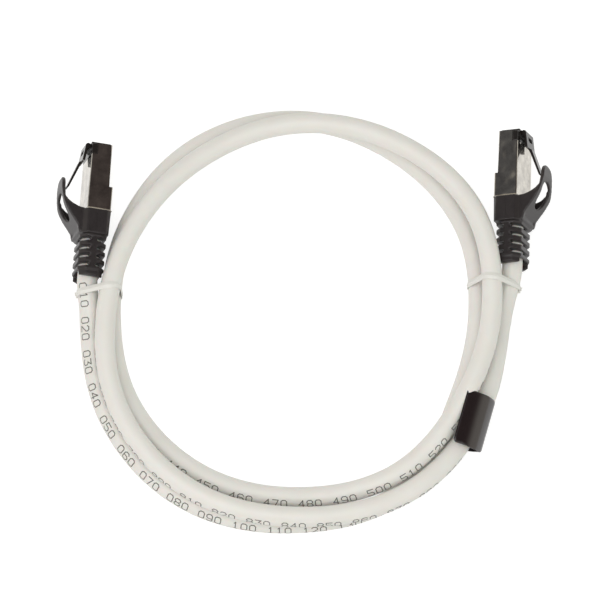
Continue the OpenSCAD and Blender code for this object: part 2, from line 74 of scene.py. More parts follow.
# Where each plug lies: its nose, then roll about its own axis, pitch and yaw in degrees
PLUGS = {
    "a": {"nose": (-60.3752, 17.8509, 6.72235), "roll": -166.0, "pitch": -1.5, "yaw": -4.4},
    "b": {"nose": (62.0036, 21.9773, 6.8351), "roll": -21.5, "pitch": -1.5, "yaw": -1.5},
}
# Distances behind the shield's front edge: the jacket's cut end, the jacket's last straight point
JACKET_FRONT = 21.2
STRAIGHT_TO = 39.9
STRAIGHT_STOPS = (JACKET_FRONT, 25, 28, 31, 34, 37, STRAIGHT_TO)


def plug_matrix(end):
    """Takes millimetres in a plug's own frame to millimetres on the floor: y forward, x to the latch."""
    p = PLUGS[end]
    turn = (Matrix.Rotation(math.radians(p["yaw"]), 4, "Z")
            @ Matrix.Rotation(math.radians(p["pitch"]), 4, "X")
            @ Matrix.Rotation(math.radians(p["roll"]), 4, "Y"))
    return Matrix.Translation(p["nose"]) @ turn


def smooth_between(p0, p1, p2, p3, t):
    """Value between p1 and p2 on the smooth curve through four neighbours."""
    return 0.5 * (2 * p1 + (p2 - p0) * t + (2 * p0 - 5 * p1 + 4 * p2 - p3) * t * t
                  + (3 * p1 - p0 - 3 * p2 + p3) * t ** 3)


def coil_point(s):
    """The cable's middle at the run angle s, millimetres."""
    u = (s - TURN_FROM) / LAY_STEP + 1
    i = min(int(math.floor(u)), len(LAY) - 3)
    out, up = (smooth_between(*(LAY[i + k][c] for k in (-1, 0, 1, 2)), u - i) for c in (0, 1))
    r = COIL_RADIUS + CABLE_OD * out
    a = math.radians(s)
    return Vector((COIL_CENTRE[0] + r * math.cos(a), COIL_CENTRE[1] + r * math.sin(a),
                   CABLE_OD / 2 + CABLE_OD * up))


def easing_curve(start, start_way, end, end_way, steps):
    """Points strictly between two places, leaving and arriving along the given ways."""
    reach = (end - start).length
    points = []
    for k in range(1, steps):
        t = k / steps
        points.append((2 * t ** 3 - 3 * t ** 2 + 1) * start + (t ** 3 - 2 * t ** 2 + t) * reach * start_way
                      + (3 * t ** 2 - 2 * t ** 3) * end + (t ** 3 - t ** 2) * reach * end_way)
    return points


def cable_line():
    """The whole cable's middle line from inside plug a's boot to inside plug b's, in millimetres,
    and the run angle at each point (None inside the boots)."""
    ends = {}
    for end in "ab":
        m = plug_matrix(end)
        ends[end] = ([m @ Vector((0, -y, 0)) for y in STRAIGHT_STOPS], m.to_3x3() @ Vector((0, 1, 0)))
    straight_a, forward_a = ends["a"]
    straight_b, forward_b = ends["b"]
    turns = [TURN_FROM + LINE_STEP * k for k in range(round((TURN_TO - TURN_FROM) / LINE_STEP) + 1)]
    coil = [coil_point(s) for s in turns]
    leave = (coil_point(TURN_FROM + AIM_STEP) - coil_point(TURN_FROM)).normalized()
    arrive = (coil_point(TURN_TO) - coil_point(TURN_TO - AIM_STEP)).normalized()
    lead_in = easing_curve(straight_a[-1], -forward_a, coil[0], leave, LEAD_STEPS["a"])
    lead_out = easing_curve(coil[-1], arrive, straight_b[-1], forward_b, LEAD_STEPS["b"])
    line = straight_a + lead_in + coil + lead_out + straight_b[::-1]
    runs = ([None] * len(straight_a) + [TURN_FROM] * len(lead_in) + turns
            + [TURN_TO] * len(lead_out) + [None] * len(straight_b))
    return line, runs


CABLE_LINE, CABLE_RUNS = cable_line()

# ---------------------------------------------------------------- camera
VIEW_TILT = 18.0            # degrees off straight down
VIEW_WIDTH = 175.8          # millimetres across the picture at the floor
VIEW_TARGET = Vector((-1.21, -26.24, 0.0))
VIEW_DISTANCE = 6000.0      # far off, so that the near plugs look no larger than the far strands
VIEW_END = 20.0             # metres, past the floor
SENSOR = 36.0


def add_camera():
    """A long lens, far above the coil and a little toward -Y."""
    tilt = math.radians(VIEW_TILT)
    away = Vector((0, -math.sin(tilt), math.cos(tilt)))
    data = bpy.data.cameras.new("product_camera")
    data.sensor_width = SENSOR
    data.lens = SENSOR * VIEW_DISTANCE / VIEW_WIDTH
    data.clip_end = VIEW_END
    camera = bpy.data.objects.new("product_camera", data)
    camera.location = (VIEW_TARGET + VIEW_DISTANCE * away) * MM
    camera.rotation_euler = Euler((tilt, 0, 0))
    bpy.context.scene.collection.objects.link(camera)
    bpy.context.scene.camera = camera


add_camera()

# ---------------------------------------------------------------- materials
# The colour sockets of the mix node, whose other sockets have the same names
MIX_LOW, MIX_HIGH, MIX_RESULT = 6, 7, 2
# Sizes of the patterns, millimetres: the jacket's haze and the grain of its skin; the clouds in a moulding's tone;
# the stains and the waviness of a plated sheet
HAZE_MM, SKIN_MM = 9, 0.6
CLOUD_MM = 2.5
STAIN_MM, WAVE_MM = 3.5, 6


def linear(hex_colour, alpha=1.0):
    """An sRGB hex value as the linear colour that the shaders take."""
    channels = [int(hex_colour[i:i + 2], 16) / 255 for i in (1, 3, 5)]
    return tuple(c / 12.92 if c <= 0.04045 else ((c + 0.055) / 1.055) ** 2.4 for c in channels) + (alpha,)


def node(tree, kind, settings=None, inputs=None):
    """Adds a node, sets its properties, and sets or links its inputs."""
    n = tree.nodes.new(kind)
    for key, value in (settings or {}).items():
        setattr(n, key, value)
    for key, value in (inputs or {}).items():
        if isinstance(value, bpy.types.NodeSocket):
            tree.links.new(value, n.inputs[key])
        else:
            n.inputs[key].default_value = value
    return n


def mixed(tree, factor, low, high):
    """Two colours, or colour sockets, mixed by a factor socket."""
    return node(tree, "ShaderNodeMix", {"data_type": "RGBA"},
                {0: factor, MIX_LOW: low, MIX_HIGH: high}).outputs[MIX_RESULT]


def new_material(name):
    m = bpy.data.materials.new(name)
    m.use_nodes = True
    m.node_tree.nodes.clear()
    return m, m.node_tree


def close_material(tree, shader):
    node(tree, "ShaderNodeOutputMaterial", inputs={"Surface": shader.outputs[0]})


def pvc_jacket():
    """Extruded soft PVC, warm light grey: satin, with the faint lengthwise haze of the extruder."""
    m, t = new_material("extruded_pvc_jacket")
    place = node(t, "ShaderNodeTexCoord").outputs["Object"]
    haze = node(t, "ShaderNodeTexNoise", inputs={"Vector": place, "Scale": 1 / (HAZE_MM * MM), "Detail": 3.0})
    tone = mixed(t, haze.outputs["Fac"], linear("#dddbd6"), linear("#e5e3df"))
    skin = node(t, "ShaderNodeTexNoise", inputs={"Vector": place, "Scale": 1 / (SKIN_MM * MM), "Detail": 2.0})
    bump = node(t, "ShaderNodeBump", inputs={"Height": skin.outputs["Fac"], "Strength": 0.12,
                                             "Distance": 0.05 * MM})
    gloss = node(t, "ShaderNodeMapRange", inputs={"Value": haze.outputs["Fac"], "To Min": 0.38, "To Max": 0.5})
    shader = node(t, "ShaderNodeBsdfPrincipled", inputs={
        "Base Color": tone, "Roughness": gloss.outputs["Result"], "Normal": bump.outputs["Normal"]})
    shader.inputs["IOR"].default_value = 1.53
    shader.inputs["Subsurface Weight"].default_value = 0.15
    shader.inputs["Subsurface Scale"].default_value = 1.0 * MM
    close_material(t, shader)
    return m


def moulded(name, low, high, rough_low, rough_high, grain_mm, bump_mm, strength, ior=1.5, spec=0.5, coat=0.0):
    """A moulded surface: two tones in a soft cloud, and a fine grain in the gloss and the normal."""
    m, t = new_material(name)
    place = node(t, "ShaderNodeTexCoord").outputs["Object"]
    cloud = node(t, "ShaderNodeTexNoise", inputs={"Vector": place, "Scale": 1 / (CLOUD_MM * MM), "Detail": 3.0})
    tone = mixed(t, cloud.outputs["Fac"], linear(low), linear(high))
    grain = node(t, "ShaderNodeTexNoise", inputs={"Vector": place, "Scale": 1 / (grain_mm * MM), "Detail": 4.0})
    gloss = node(t, "ShaderNodeMapRange",
                 inputs={"Value": grain.outputs["Fac"], "To Min": rough_low, "To Max": rough_high})
    bump = node(t, "ShaderNodeBump", inputs={"Height": grain.outputs["Fac"], "Strength": strength,
                                             "Distance": bump_mm * MM})
    shader = node(t, "ShaderNodeBsdfPrincipled", inputs={
        "Base Color": tone, "Roughness": gloss.outputs["Result"], "Normal": bump.outputs["Normal"]})
    shader.inputs["IOR"].default_value = ior
    shader.inputs["Specular IOR Level"].default_value = spec
    shader.inputs["Coat Weight"].default_value = coat
    shader.inputs["Coat Roughness"].default_value = 0.12
    close_material(t, shader)
    return m


def plated(name, low, high, rough_low, rough_high, streak_mm, wave=0.0):
    """A thin plated metal skin: near mirror, its tone clouded, with fine rolling streaks in its gloss and a slow
    waviness of the sheet, as much as wave says."""
    m, t = new_material(name)
    place = node(t, "ShaderNodeTexCoord").outputs["Object"]
    drawn = node(t, "ShaderNodeMapping", inputs={"Vector": place, "Scale": (1.0, 0.08, 1.0)})
    streak = node(t, "ShaderNodeTexNoise", inputs={"Vector": drawn.outputs["Vector"],
                                                   "Scale": 1 / (streak_mm * MM), "Detail": 3.0})
    stain = node(t, "ShaderNodeTexNoise", inputs={"Vector": place, "Scale": 1 / (STAIN_MM * MM), "Detail": 5.0,
                                                  "Roughness": 0.6})
    spread = node(t, "ShaderNodeMapRange", inputs={"Value": stain.outputs["Fac"], "From Min": 0.3,
                                                   "From Max": 0.7})
    tone = mixed(t, spread.outputs["Result"], linear(low), linear(high))
    gloss = node(t, "ShaderNodeMapRange",
                 inputs={"Value": streak.outputs["Fac"], "To Min": rough_low, "To Max": rough_high})
    slow = node(t, "ShaderNodeTexNoise", inputs={"Vector": place, "Scale": 1 / (WAVE_MM * MM), "Detail": 1.0})
    swell = node(t, "ShaderNodeBump", inputs={"Height": slow.outputs["Fac"], "Strength": wave,
                                              "Distance": 1.0 * MM})
    bump = node(t, "ShaderNodeBump", inputs={"Height": streak.outputs["Fac"], "Strength": 0.05,
                                             "Distance": 0.02 * MM, "Normal": swell.outputs["Normal"]})
    shader = node(t, "ShaderNodeBsdfPrincipled", inputs={
        "Base Color": tone, "Roughness": gloss.outputs["Result"], "Normal": bump.outputs["Normal"]})
    shader.inputs["Metallic"].default_value = 1.0
    close_material(t, shader)
    return m


JACKET = pvc_jacket()
# Injection moulded elastomer: near black and satin, with a fine spark-eroded grain that softens its highlights
BOOT = moulded("moulded_tpe_boot", "#211d1e", "#302a2b", 0.28, 0.46, 0.12, 0.04, 0.25)
# Polycarbonate from a polished tool: black, with small sharp highlights
INSULATOR = moulded("polished_polycarbonate", "#1d1a19", "#241f1d", 0.12, 0.24, 0.5, 0.01, 0.1, ior=1.58)
# The same plastic undyed: milky, half glossy
LOAD_BAR = moulded("moulded_polycarbonate_load_bar", "#dcd9cf", "#e6e3da", 0.3, 0.4, 0.4, 0.02, 0.1, ior=1.58)
# Extruded film over a wire: off-white, satin, a little lighter than the jacket
TIE_PVC = moulded("extruded_pvc_tie", "#dcdbd6", "#e4e3df", 0.35, 0.45, 0.4, 0.02, 0.15)
# Pad-printed ink: dark grey, thin, with no gloss of its own
INK = moulded("pad_printed_ink", "#53524e", "#75736d", 0.45, 0.6, 0.3, 0.01, 0.05)
# Calendered vinyl film: brown black under a clear glossy top that shows one long soft highlight
TAG_FILM = moulded("glossy_vinyl_tag", "#181011", "#211718", 0.14, 0.24, 1.2, 0.02, 0.1, spec=0.6, coat=0.8)
# Extruded polyethylene: an even orange, waxy
WIRE_SKIN = moulded("extruded_polyethylene_wire", "#d8752a", "#e08438", 0.3, 0.4, 0.5, 0.02, 0.1)
# Nickel over pressed steel sheet: mirrors the room, dark or bright by the face, a little clouded and wavy
NICKEL = plated("nickel_plated_shield", "#a39e98", "#d9d4ca", 0.06, 0.14, 0.25, wave=0.35)
# Gold over stamped bronze: warm yellow, bright
GOLD = plated("gold_plated_blade", "#d8b25a", "#e2c06c", 0.12, 0.22, 0.2)
# Rolled aluminium foil: pale, softer than the nickel
FOIL = plated("aluminium_foil_screen", "#b8babc", "#cfd1d3", 0.25, 0.4, 0.3)

NODE_LOOKS = {"plug_body": INSULATOR, "plug_shield": NICKEL, "contacts": GOLD, "load_bar": LOAD_BAR,
              "conductors": WIRE_SKIN, "screen": FOIL, "jacket_end": JACKET, "latch": INSULATOR, "boot": BOOT,
              "latch_guard": BOOT, "cable_coil": JACKET, "cable_tail": JACKET, "tie_left": TIE_PVC,
              "tie_right": TIE_PVC, "tag": TAG_FILM}


def dress_solids():
    """Every CAD solid gets its material; those of a plug end in _a or _b."""
    for name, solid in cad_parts.items():
        look = NODE_LOOKS.get(name) or NODE_LOOKS[name[:-2]]
        solid.data.materials.clear()
        solid.data.materials.append(look)


dress_solids()


# ---------------------------------------------------------------- the cable
def add_cable(far_pieces):
    """The jacket as one open curve. far_pieces, the plug's pieces at its far end and what hangs on it, is not used.
    """
    data = bpy.data.curves.new("cable_jacket", "CURVE")
    data.dimensions = "3D"
    data.bevel_depth = CABLE_OD / 2 * MM
    data.bevel_resolution = 14
    data.use_fill_caps = True
    spline = data.splines.new("POLY")
    spline.points.add(len(CABLE_LINE) - 1)
    for p, q in zip(spline.points, CABLE_LINE):
        p.co = (q.x * MM, q.y * MM, q.z * MM, 1)
    spline.use_smooth = True
    data.materials.append(JACKET)
    cable = bpy.data.objects.new("cable_jacket", data)
    bpy.context.scene.collection.objects.link(cable)
    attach(cable, "cable")
    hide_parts("cable_coil", "cable_tail_a", "cable_tail_b", "jacket_end_a", "jacket_end_b")


# ---------------------------------------------------------------- tools for the pieces, in millimetres
SAME_CORNER = 0.002         # corners of a solid's loose triangles closer than this are one


def local_copy(end, *names):
    """The named CAD solids as one bmesh in the plug's own frame, in millimetres, their corners merged."""
    bm = bmesh.new()
    back = plug_matrix(end).inverted() @ Matrix.Scale(1 / MM, 4)
    for name in names:
        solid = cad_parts[f"{name}_{end}"]
        before = len(bm.verts)
        bm.from_mesh(solid.data)
        bm.verts.ensure_lookup_table()
        bmesh.ops.transform(bm, matrix=back @ solid.matrix_world, verts=bm.verts[before:])
    bmesh.ops.remove_doubles(bm, verts=bm.verts[:], dist=SAME_CORNER)
    return bm


def add_box(bm, lo, hi):
    """A closed box between two corners."""
    lo, hi = Vector(lo), Vector(hi)
    bmesh.ops.create_cube(bm, size=1.0, matrix=Matrix.Translation((lo + hi) / 2) @ Matrix.Diagonal((*(hi - lo), 1)))


def add_prism(bm, outline, z0, z1):
    """A closed prism along z from a side view of (x, y) points."""
    base = bm.faces.new([bm.verts.new((x, y, z0)) for x, y in outline])
    grown = bmesh.ops.extrude_face_region(bm, geom=[base])["geom"]
    bmesh.ops.translate(bm, verts=[g for g in grown if isinstance(g, bmesh.types.BMVert)], vec=(0, 0, z1 - z0))
    bmesh.ops.recalc_face_normals(bm, faces=bm.faces[:])


def add_loft(bm, rings, closed):
    """A skin over rings of equally many points, joined end to start if closed, else capped."""
    loops = []
    for ring in rings:
        verts = [bm.verts.new(p) for p in ring]
        loops.append([bm.edges.new((verts[k - 1], verts[k])) for k in range(len(verts))])
    for a, b in zip(loops, loops[1:] + (loops[:1] if closed else [])):
        for face in bmesh.ops.bridge_loops(bm, edges=a + b)["faces"]:
            face.smooth = True
    if not closed:
        bmesh.ops.edgeloop_fill(bm, edges=loops[0] + loops[-1])
    bmesh.ops.recalc_face_normals(bm, faces=bm.faces[:])


def remeshed(bm, voxel, rounds):
    """One skin over all the solids in the bmesh, its edges rounded as a moulding's are."""
    mesh = bpy.data.meshes.new("moulding")
    bm.to_mesh(mesh)
    bm.free()
    work = bpy.data.objects.new("moulding", mesh)
    bpy.context.scene.collection.objects.link(work)
    skin = work.modifiers.new("skin", "REMESH")
    skin.mode = "VOXEL"
    skin.voxel_size = voxel
    bpy.context.view_layer.update()
    result = bpy.data.meshes.new_from_object(work.evaluated_get(bpy.context.evaluated_depsgraph_get()))
    bpy.data.objects.remove(work)
    out = bmesh.new()
    out.from_mesh(result)
    for _ in range(rounds):
        bmesh.ops.smooth_vert(out, verts=out.verts[:], factor=0.5, use_axis_x=True, use_axis_y=True,
                              use_axis_z=True)
    for face in out.faces:
        face.smooth = True
    return out


def place_piece(name, bm, material, to_floor=None):
    """The bmesh, given in millimetres, as an object at the origin; to_floor takes a plug's frame to the floor's."""
    bmesh.ops.transform(bm, matrix=Matrix.Scale(MM, 4) @ (to_floor or Matrix.Identity(4)), verts=bm.verts[:])
    mesh = bpy.data.meshes.new(name)
    bm.to_mesh(mesh)
    bm.free()
    mesh.materials.append(material)
    piece = bpy.data.objects.new(name, mesh)
    bpy.context.scene.collection.objects.link(piece)
    return piece


def bend_between(piece, end, body, x_from, x_to):
    """Bakes the piece's place on the floor into its mesh; it does not bend the piece. end, body, x_from and x_to are
    not used.
    """
    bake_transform(piece)


# ---------------------------------------------------------------- boot and latch, in the plug's frame
BOOT_VOXEL = 0.2
BOOT_ROUNDS = 4
# Side view of the gusset that joins the guard's web to the boot, and its inner and outer face
GUSSET = [(3.5, -20.4), (3.85, -20.12), (4.5, -20.08), (5.2, -19.97), (5.9, -19.75), (6.3, -20.6), (5.0, -26.9),
          (4.6, -27.8), (3.5, -27.9)]
GUSSET_IN, GUSSET_OUT = 4.0, 5.2
# The guard's root, which joins it to the boot's back across its width
GUARD_ROOT = ((3.6, -27.9, -4.6), (4.75, -26.8, 4.6))
GUARD_BEND = (3.7, 6.5)
# The mould's parting line on the boot's flat sides: half of the boot's width, its ends, half its width, its rise
SEAM_FACE = 6.65
SEAM_ENDS = (-27.6, -20.7)
SEAM_HALF, SEAM_RISE = 0.07, 0.1


def add_boot(end):
    """Boot and latch guard as the one elastomer moulding that they are."""
    bm = local_copy(end, "boot", "latch_guard")
    add_prism(bm, GUSSET, GUSSET_IN, GUSSET_OUT)
    add_prism(bm, GUSSET, -GUSSET_OUT, -GUSSET_IN)
    add_box(bm, *GUARD_ROOT)
    bm = remeshed(bm, BOOT_VOXEL, BOOT_ROUNDS)
    for z in (-SEAM_FACE, SEAM_FACE):
        add_box(bm, (-SEAM_HALF, SEAM_ENDS[0], z - SEAM_RISE), (SEAM_HALF, SEAM_ENDS[1], z + SEAM_RISE))
    piece = place_piece(f"boot_moulding_{end}", bm, BOOT, plug_matrix(end))
    bend_between(piece, end, f"guard_{end}", *GUARD_BEND)
    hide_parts(f"boot_{end}", f"latch_guard_{end}")
    return piece


LATCH_VOXEL, LATCH_ROUNDS = 0.1, 3
# The thin living hinge between the latch and the nose
LATCH_HINGE = ((2.7, -0.85, -3.0), (3.6, 0.45, 3.0))
LATCH_BEND = (3.05, 3.9)


def add_latch(end):
    """The latch with the thin living hinge that holds it to the nose."""
    bm = local_copy(end, "latch")
    add_box(bm, *LATCH_HINGE)
    bm = remeshed(bm, LATCH_VOXEL, LATCH_ROUNDS)
    piece = place_piece(f"latch_moulding_{end}", bm, INSULATOR, plug_matrix(end))
    bend_between(piece, end, f"latch_{end}", *LATCH_BEND)
    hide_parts(f"latch_{end}")
    return piece


# ---------------------------------------------------------------- shield and nose, in the plug's frame
SHIELD_HALF_T, SHIELD_HALF_W, SHIELD_HEEL = 3.0, 5.85, -4.1
FOLD_R = 0.38
FOLD_SEGMENTS = 6
FOLD_SHARP = math.radians(60)   # an edge sharper than this is a fold
FOLD_LEAST = 1.0                # and it is at least this long
FOLD_ALONG = 0.9                # and at least this share of it runs along the plug
ON_FACE = 0.02                  # an edge this close to an outer face lies in it
# Cross-section of the bright lip at the boot's mouth, [outward from the shield's face, y]
FLARE = [(-0.1, -20.5), (-0.02, -19.9), (0.3, -20.36), (0.3, -20.5)]
FLARE_STEP = 15                 # degrees between its sections round a corner


def is_long_fold(edge):
    """Whether an edge of the shield is one of the folds along its outer corners."""
    if len(edge.link_faces) != 2 or edge.calc_face_angle(0) < FOLD_SHARP:
        return False
    a, b = (v.co for v in edge.verts)
    mid, way = (a + b) / 2, b - a
    on_side = abs(abs(mid.z) - SHIELD_HALF_W) < ON_FACE
    on_top = any(abs(mid.x - x) < ON_FACE for x in (SHIELD_HALF_T, -SHIELD_HALF_T, SHIELD_HEEL))
    return on_side and on_top and abs(way.y) > FOLD_ALONG * way.length and way.length > FOLD_LEAST


def add_flare(bm):
    """The bright lip where the shield enters the boot, all round it."""
    corners = [(SHIELD_HALF_T, SHIELD_HALF_W), (SHIELD_HEEL, SHIELD_HALF_W),
               (SHIELD_HEEL, -SHIELD_HALF_W), (SHIELD_HALF_T, -SHIELD_HALF_W)]
    rings = []
    for k, (x, z) in enumerate(corners):
        cx, cz = x - math.copysign(FOLD_R, x), z - math.copysign(FOLD_R, z)
        for a in range(0, 91, FLARE_STEP):
            way = math.radians(90 * k + a)
            rings.append([(cx + (FOLD_R + out) * math.cos(way), y, cz + (FOLD_R + out) * math.sin(way))
                          for out, y in FLARE])
    add_loft(bm, rings, closed=True)


def add_shield(end):
    """The nickel shield with its long edges folded to a small radius."""
    bm = local_copy(end, "plug_shield")
    bmesh.ops.dissolve_limit(bm, angle_limit=math.radians(1.0), verts=bm.verts[:], edges=bm.edges[:])
    folds = bmesh.ops.bevel(bm, geom=[e for e in bm.edges if is_long_fold(e)], offset=FOLD_R,
                            offset_type="OFFSET", segments=FOLD_SEGMENTS, profile=0.5, affect="EDGES",
                            clamp_overlap=True, material=-1)["faces"]
    for face in folds:
        face.smooth = True
    bmesh.ops.triangulate(bm, faces=[f for f in bm.faces if len(f.verts) > 4])
    add_flare(bm)
    piece = place_piece(f"shield_folded_{end}", bm, NICKEL, plug_matrix(end))
    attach(piece, "cable")
    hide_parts(f"plug_shield_{end}")
    return piece


NOSE_VOXEL, NOSE_ROUNDS = 0.13, 2


def add_nose(end):
    """The black moulded body, its edges eased."""
    bm = remeshed(local_copy(end, "plug_body"), NOSE_VOXEL, NOSE_ROUNDS)
    piece = place_piece(f"nose_moulding_{end}", bm, INSULATOR, plug_matrix(end))
    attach(piece, "cable")
    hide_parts(f"plug_body_{end}")
    return piece


# ---------------------------------------------------------------- twist ties
TIE_WIDTH = 2.0
TIE_STEP = 3                    # degrees between the ribbon's sections
# Each tie's plane stands nearly square to the strands: its height above the coil's middle at x0, and its slope
TIES = {"left": {"side": -1, "x0": -53.4, "y0": 6.6, "slope": 0.073},
        "right": {"side": 1, "x0": 54.3, "y0": 8.6, "slope": -0.10}}
# The ribbon's cross-section: across in half widths, out from the strands in millimetres; thin film, wire as a ridge
TIE_SECTION = [(-1.0, 0.03), (-1.0, 0.17), (-0.94, 0.24), (-0.5, 0.26), (-0.3, 0.34), (-0.16, 0.46), (0.0, 0.5),
               (0.16, 0.46), (0.3, 0.34), (0.5, 0.26), (0.94, 0.24), (1.0, 0.17), (1.0, 0.03)]
# Nearer to the floor than this the ribbon is pressed to a small share of its height, as the strands lie on it
PRESS_BELOW, PRESSED = 0.6, 0.08
# The twisted ends, from the outer strand's middle: outward at both ends, along the strand at both ends, up
TWIST_OUT = (3.5, 3.25)
TWIST_ALONG = (-0.8, 1.0)
TWIST_UP = -0.9
TWIST_RADIUS = 0.62
TWIST_TAPER = 0.35              # share of the radius that is lost toward the free end
TWIST_TIP = 0.4                 # share of the radius at the two capped sections
TWIST_LOBES = (0.72, 0.28)      # the section's mean radius and its two lobes, one for each end, as shares
TWIST_TURN = 2.2 * math.pi
TWIST_STEPS, TWIST_SIDES = 14, 14


def tie_crossings(tie):
    """Where the cable passes the tie's plane on its side of the coil, and the cable's way there."""
    def above(p):
        return p.y - (COIL_CENTRE[1] + tie["y0"] + tie["slope"] * (p.x - tie["x0"]))
    hits = []
    for a, b in zip(CABLE_LINE, CABLE_LINE[1:]):
        if (a.x - COIL_CENTRE[0]) * tie["side"] > 0 and above(a) * above(b) <= 0 and above(a) != above(b):
            hits.append((a.lerp(b, above(a) / (above(a) - above(b))), (b - a).normalized()))
    return hits


def add_ribbon(bm, tie, hits):
    """The flat film round all the strands that cross the tie's plane."""
    across = Vector((-tie["slope"], 1, 0)).normalized()
    level = Vector((1, tie["slope"], 0)).normalized()
    rings = []
    for k in range(0, 360, TIE_STEP):
        way = math.cos(math.radians(k)) * level + math.sin(math.radians(k)) * UP
        far = max((p for p, _ in hits), key=lambda p: p.dot(way))
        at = far + way * (CABLE_OD / 2)
        press = PRESSED if at.z < PRESS_BELOW else 1.0
        rings.append([at + across * (a * TIE_WIDTH / 2) + way * (out * press) for a, out in TIE_SECTION])
    add_loft(bm, rings, closed=True)


def add_twist(bm, tie, hits):
    """The ribbon's two ends twisted together and pressed along the outer strand."""
    outer, way = max(hits, key=lambda h: h[0].x * tie["side"])
    down = way if way.y < 0 else -way
    side = down.cross(UP).normalized()
    if side.x * tie["side"] < 0:
        side = -side
    rings = []
    for k in range(TWIST_STEPS + 1):
        t = k / TWIST_STEPS
        middle = (outer + side * (TWIST_OUT[0] + (TWIST_OUT[1] - TWIST_OUT[0]) * t)
                  + down * (TWIST_ALONG[0] + (TWIST_ALONG[1] - TWIST_ALONG[0]) * t) + TWIST_UP * UP)
        radius = TWIST_RADIUS * (1 - TWIST_TAPER * t) * (TWIST_TIP if k in (0, TWIST_STEPS) else 1)
        ring = []
        for j in range(TWIST_SIDES):
            a = 2 * math.pi * j / TWIST_SIDES
            r = radius * (TWIST_LOBES[0] + TWIST_LOBES[1] * math.cos(2 * (a - TWIST_TURN * t)))
            ring.append(middle + r * (math.cos(a) * side + math.sin(a) * UP))
        rings.append(ring)
    add_loft(bm, rings, closed=False)


def add_tie(name):
    """A flat film-and-wire tie round three strands, its twisted ends pressed along the outer one."""
    hits = tie_crossings(TIES[name])
    bm = bmesh.new()
    add_ribbon(bm, TIES[name], hits)
    add_twist(bm, TIES[name], hits)
    piece = place_piece(f"tie_ribbon_{name}", bm, TIE_PVC)
    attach(piece, "cable")
    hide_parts(f"tie_{name}")
    return piece


# ---------------------------------------------------------------- tag
TAG_LENGTH, TAG_WIDTH, TAG_CORNER, TAG_FILM_T = 16.5, 10.3, 1.0, 0.14
# The card's middle and the ways along and across it, as it lies over the two upper strands
TAG_AT = Vector((50.01, -66.86, 10.93))
TAG_ALONG = Vector((-0.2675, -0.962, -0.0546)).normalized()
TAG_ACROSS = Vector((0.7194, -0.1617, -0.6756)).normalized()
# Sections along the tag in half lengths, close together at its rounded corners
TAG_STATIONS = [-1, -0.985, -0.96, -0.92, -0.88] + [-0.8 + 0.1 * k for k in range(17)] + [0.88, 0.92, 0.96, 0.985, 1]
LEAF_STEPS = 20
# Height of the leaf as it arches over the strands, lowest at its inner edge: the factors of a cubic, across it
LEAF_ARCH = (0.7, 0.75, -1.15, -0.2)
# The turn of the film at the leaf's edge: back from it and down, then halfway out to the wrap, its height a share
# of the outer strand's middle and a lift
TURN_BACK, TURN_DROP = 0.35, 0.2
TURN_SHARE, TURN_LIFT = 0.4, 0.2
# The wrap round the outer strand, in degrees
WRAP_GAP = 0.12
WRAP_ANGLES = range(20, -161, -15)
# Run angles of the outer strand under the tag, half a degree apart
TAG_RUNS = [1020 + 0.5 * k for k in range(120)]


def tag_section(u, x0, y0):
    """The film's section at u half lengths along the tag, [across, up], with the outer strand's middle at x0, y0."""
    over = max(0.0, abs(u) * TAG_LENGTH / 2 - (TAG_LENGTH / 2 - TAG_CORNER))
    half = TAG_WIDTH / 2 - (TAG_CORNER - math.sqrt(max(0.0, TAG_CORNER ** 2 - over ** 2)))
    section = []
    for k in range(LEAF_STEPS + 1):
        v = -half + 2 * half * k / LEAF_STEPS
        section.append((v, sum(c * (v / half) ** n for n, c in enumerate(LEAF_ARCH))))
    r = CABLE_OD / 2 + WRAP_GAP
    section.append((half - TURN_BACK, section[-1][1] - TURN_DROP))
    section.append(((half + x0 + r) / 2, TURN_SHARE * y0 + TURN_LIFT))
    for a in WRAP_ANGLES:
        section.append((x0 + r * math.cos(math.radians(a)), y0 + r * math.sin(math.radians(a))))
    return section


def add_tag():
    """Film folded round the outer strand: its long leaf lies flat over the strands, its end is tucked below."""
    along = TAG_ALONG
    across = (TAG_ACROSS - TAG_ACROSS.dot(along) * along).normalized()
    up = along.cross(across)
    if up.z < 0:
        up = -up
    strand = [coil_point(s) for s in TAG_RUNS]
    bm = bmesh.new()
    rows = []
    for u in TAG_STATIONS:
        at = TAG_AT + along * (u * TAG_LENGTH / 2)
        axis = min(strand, key=lambda p: abs((p - at).dot(along)))
        section = tag_section(u, (axis - at).dot(across), (axis - at).dot(up))
        rows.append([bm.verts.new(at + across * v + up * h) for v, h in section])
    for a, b in zip(rows, rows[1:]):
        for k in range(len(a) - 1):
            bm.faces.new((a[k], a[k + 1], b[k + 1], b[k])).smooth = True
    bmesh.ops.recalc_face_normals(bm, faces=bm.faces[:])
    bmesh.ops.solidify(bm, geom=bm.faces[:], thickness=TAG_FILM_T)
    piece = place_piece("tag_film", bm, TAG_FILM)
    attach(piece, "cable")
    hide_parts("tag")
    return piece


# ---------------------------------------------------------------- length marks on the jacket
DIGIT_WIDTH, DIGIT_HEIGHT, DIGIT_PITCH, STROKE = 1.65, 2.4, 2.45, 0.27
GRID_WIDTH, GRID_HEIGHT = 4, 6
MARK_EVERY = 10.0
MARK_INSET = 1.2            # from the start of each ten millimetres to its first digit
STROKE_STEP = 0.35          # between the rows of a stroke, so that it follows the jacket
STROKE_END = 0.4            # how far a stroke runs past its corners, in stroke widths
INK_LIFT = 0.03
